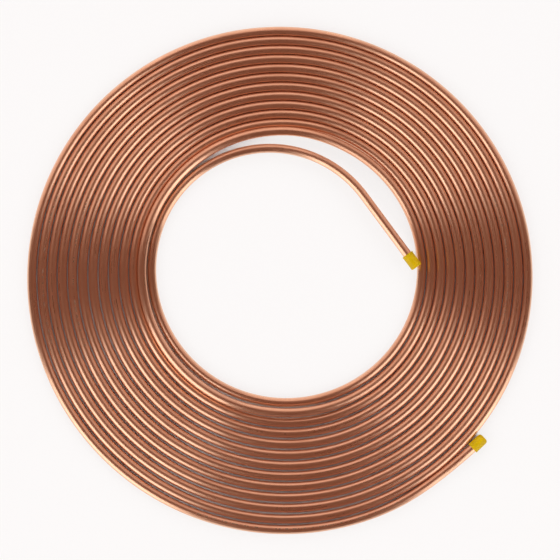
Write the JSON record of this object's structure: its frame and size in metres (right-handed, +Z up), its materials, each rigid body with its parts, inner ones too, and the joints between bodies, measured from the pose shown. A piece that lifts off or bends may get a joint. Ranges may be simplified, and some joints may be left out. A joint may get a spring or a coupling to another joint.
{
  "type": "copper tube coil",
  "caption": "Soft copper tube wound into a flat single-layer spiral, its outer end lying against the coil, its inner end sprung across the eye, and a push-on plastic cap on each end.",
  "frame": {"origin": "middle of the coil's bounding box in plan, on the ground it lies on", "axes": "+Z up through the coil's eye; the coil lies flat in XY, its outer end at +X -Y and its inner end crossing the eye from -X +Y to +X"},
  "size_m": [0.5318, 0.534, 0.0209],
  "materials": {
    "copper": null,
    "cap_plastic": "soft yellow plastic, smooth, slightly see-through"
  },
  "bodies": {
    "root": {"copper_tube": "copper", "outer_end_cap": "cap_plastic", "inner_end_cap": "cap_plastic"}
  },
  "joints": []
}
